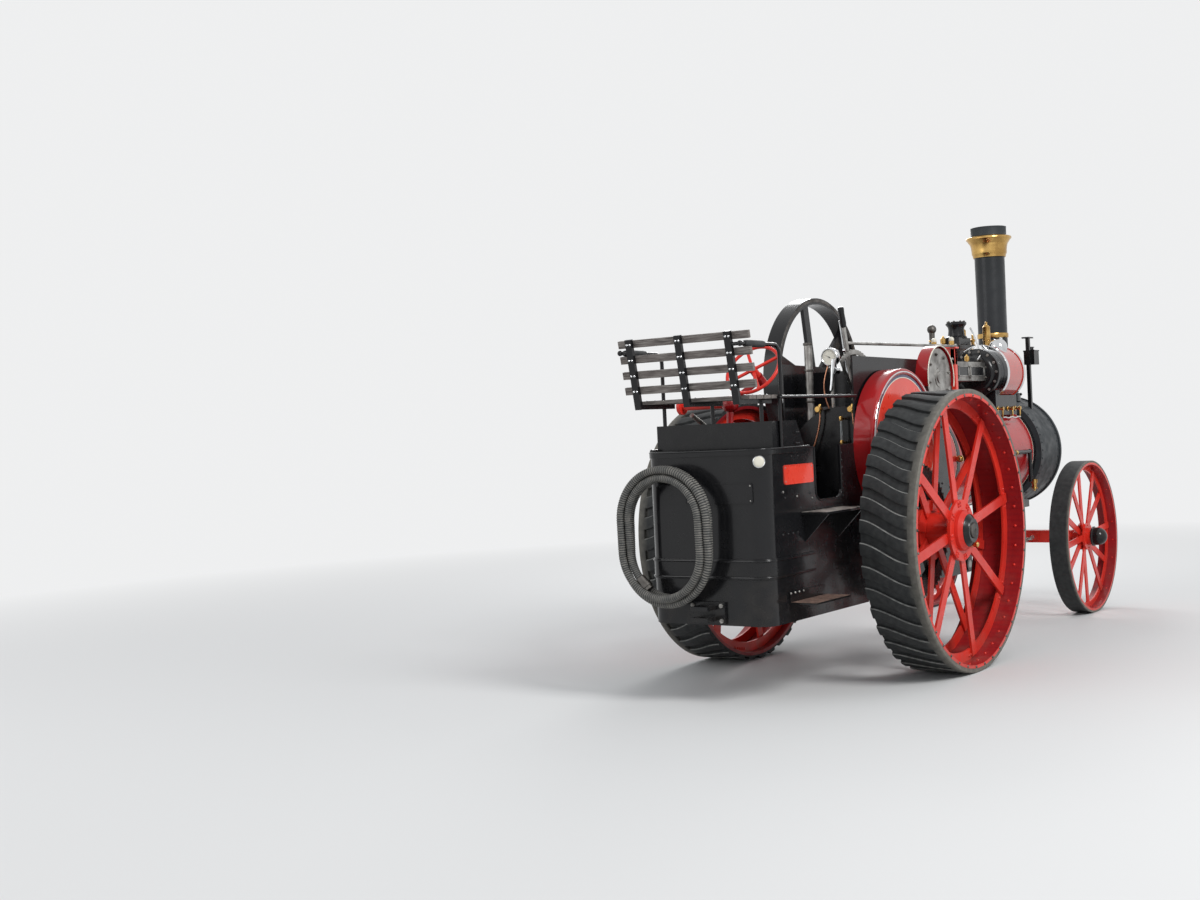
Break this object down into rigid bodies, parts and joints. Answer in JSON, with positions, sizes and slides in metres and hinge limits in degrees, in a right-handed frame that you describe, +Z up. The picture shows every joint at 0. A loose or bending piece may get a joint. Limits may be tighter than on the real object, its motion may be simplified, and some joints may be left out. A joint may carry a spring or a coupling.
{
  "type": "steam traction engine",
  "caption": "Coal-fired steam road engine with gear-driven rear wheels, chain steering, flywheel, chimney, tender with slatted seat, and a coiled suction hose.",
  "frame": {"origin": "on the ground, under the middle of the engine's length and width", "axes": "+X forward to the chimney, +Y to the driver's left, +Z up"},
  "size_m": [5.5188, 2.014, 3.237],
  "materials": {
    "red_paint": "gloss, hand-finished coach paint",
    "wheel_red": "gloss",
    "black_paint": "gloss",
    "smokebox_black": "heat-proof satin",
    "steel": "oiled, bright-worn",
    "brass": "polished",
    "rubber": "matte, dusty",
    "hose": "matte, ribbed",
    "wood": "weathered grey"
  },
  "bodies": {
    "engine": {"boiler_barrel": "red_paint", "firebox": "black_paint", "smokebox": "smokebox_black", "chimney": "smokebox_black", "chimney_cap": "brass", "hornplates": "black_paint", "cylinder_block": "black_paint", "cylinder_lagging": "red_paint", "valve_gear_top": "black_paint", "slide_bars": "steel", "connecting_rod": "steel", "crank_guard": "red_paint", "gear_cover": "red_paint", "tender": "black_paint", "coal_plates": "black_paint", "drawbar_hitch": "black_paint", "seat_slats": "wood", "seat_frame": "black_paint", "steps": "black_paint", "side_rail": "black_paint", "steering_column": "red_paint", "levers": "steel", "gauge_fittings": "steel", "governor": "steel", "perch_bracket": "black_paint", "lamp_bracket": "black_paint", "feed_pipe": "black_paint", "ash_pan": "black_paint", "rear_axle": "steel", "hose_hook": "black_paint", "hose_coil": "hose", "shaft_brackets": "black_paint"},
    "rear_wheel_right": {"rear_wheel_right": "wheel_red", "rear_tyre_right": "rubber", "final_gear": "black_paint"},
    "rear_wheel_left": {"rear_wheel_left": "wheel_red", "rear_tyre_left": "rubber"},
    "front_axle": {"front_axle": "wheel_red"},
    "front_wheel_right": {"front_wheel_right": "wheel_red", "front_tyre_right": "rubber"},
    "front_wheel_left": {"front_wheel_left": "wheel_red", "front_tyre_left": "rubber"},
    "crankshaft": {"crankshaft": "steel", "flywheel": "black_paint"},
    "third_shaft": {"third_shaft": "steel"},
    "steering_wheel": {"steering_wheel": "wheel_red"},
    "cross_shaft": {"cross_shaft": "wheel_red"},
    "worm_shaft": {"worm_shaft": "steel"},
    "chain_drum": {"chain_drum": "steel"},
    "chain_left": {"chain_left": "steel"},
    "chain_right": {"chain_right": "steel"},
    "smokebox_door": {"smokebox_door": "smokebox_black"},
    "fire_door": {"fire_door": "black_paint"}
  },
  "joints": [
    {"name": "rear_wheel_right_spin", "type": "hinge", "parent": "engine", "child": "rear_wheel_right", "pos_m": [-0.89756, -0.825, 0.915], "axis": [0, 1, 0], "continuous": true},
    {"name": "rear_wheel_left_spin", "type": "hinge", "parent": "engine", "child": "rear_wheel_left", "pos_m": [-0.89756, 0.825, 0.915], "axis": [0, 1, 0], "continuous": true},
    {"name": "steering", "type": "hinge", "parent": "engine", "child": "front_axle", "pos_m": [2.13844, 0, 0.8], "axis": [0, 0, 1], "range_deg": [-22, 22]},
    {"name": "front_wheel_right_spin", "type": "hinge", "parent": "front_axle", "child": "front_wheel_right", "pos_m": [2.13844, -0.7, 0.621], "axis": [0, 1, 0], "continuous": true},
    {"name": "front_wheel_left_spin", "type": "hinge", "parent": "front_axle", "child": "front_wheel_left", "pos_m": [2.13844, 0.7, 0.621], "axis": [0, 1, 0], "continuous": true},
    {"name": "crankshaft_spin", "type": "hinge", "parent": "engine", "child": "crankshaft", "pos_m": [-0.14756, 0, 1.936], "axis": [0, 1, 0], "continuous": true},
    {"name": "third_shaft_spin", "type": "hinge", "parent": "engine", "child": "third_shaft", "pos_m": [-0.89756, -0.5, 1.474], "axis": [0, 1, 0], "continuous": true},
    {"name": "steering_wheel_turn", "type": "hinge", "parent": "engine", "child": "steering_wheel", "pos_m": [-1.89756, 0, 2.01], "axis": [-0.809, 0, 0.5878], "range_deg": [-1340, 1340]},
    {"name": "cross_shaft_turn", "type": "hinge", "parent": "engine", "child": "cross_shaft", "pos_m": [-1.92756, 0.3, 1.8], "axis": [0, 1, 0], "range_deg": [-1340, 1340]},
    {"name": "worm_shaft_turn", "type": "hinge", "parent": "engine", "child": "worm_shaft", "pos_m": [-1.85756, 0.5, 1.745], "axis": [0.903, 0, -0.4296], "range_deg": [-1340, 1340]},
    {"name": "chain_drum_turn", "type": "hinge", "parent": "engine", "child": "chain_drum", "pos_m": [0.41244, 0, 0.56], "axis": [0, 1, 0], "range_deg": [-140, 140]},
    {"name": "chain_left_pull", "type": "slide", "parent": "engine", "child": "chain_left", "axis": [1, 0, 0.0004], "range_m": [-0.12, 0.12]},
    {"name": "chain_right_pull", "type": "slide", "parent": "engine", "child": "chain_right", "axis": [0.9973, 0, 0.0733], "range_m": [-0.12, 0.12]},
    {"name": "smokebox_door_hinge", "type": "hinge", "parent": "engine", "child": "smokebox_door", "pos_m": [2.37444, 0.4, 1.345], "axis": [0, 0, 1], "range_deg": [0, 110]},
    {"name": "fire_door_hinge", "type": "hinge", "parent": "engine", "child": "fire_door", "pos_m": [-0.76156, 0.2, 1.33], "axis": [0, 0, -1], "range_deg": [0, 110]}
  ],
  "couplings": [
    {"joint": "third_shaft_spin", "follows": "rear_wheel_right_spin", "ratio": -3.3333},
    {"joint": "chain_drum_turn", "follows": "steering", "ratio": -5},
    {"joint": "worm_shaft_turn", "follows": "steering", "ratio": 60},
    {"joint": "cross_shaft_turn", "follows": "steering", "ratio": 60},
    {"joint": "steering_wheel_turn", "follows": "steering", "ratio": 60},
    {"joint": "chain_left_pull", "follows": "steering", "m_per_rad": -0.3015},
    {"joint": "chain_right_pull", "follows": "steering", "m_per_rad": 0.3015}
  ]
}
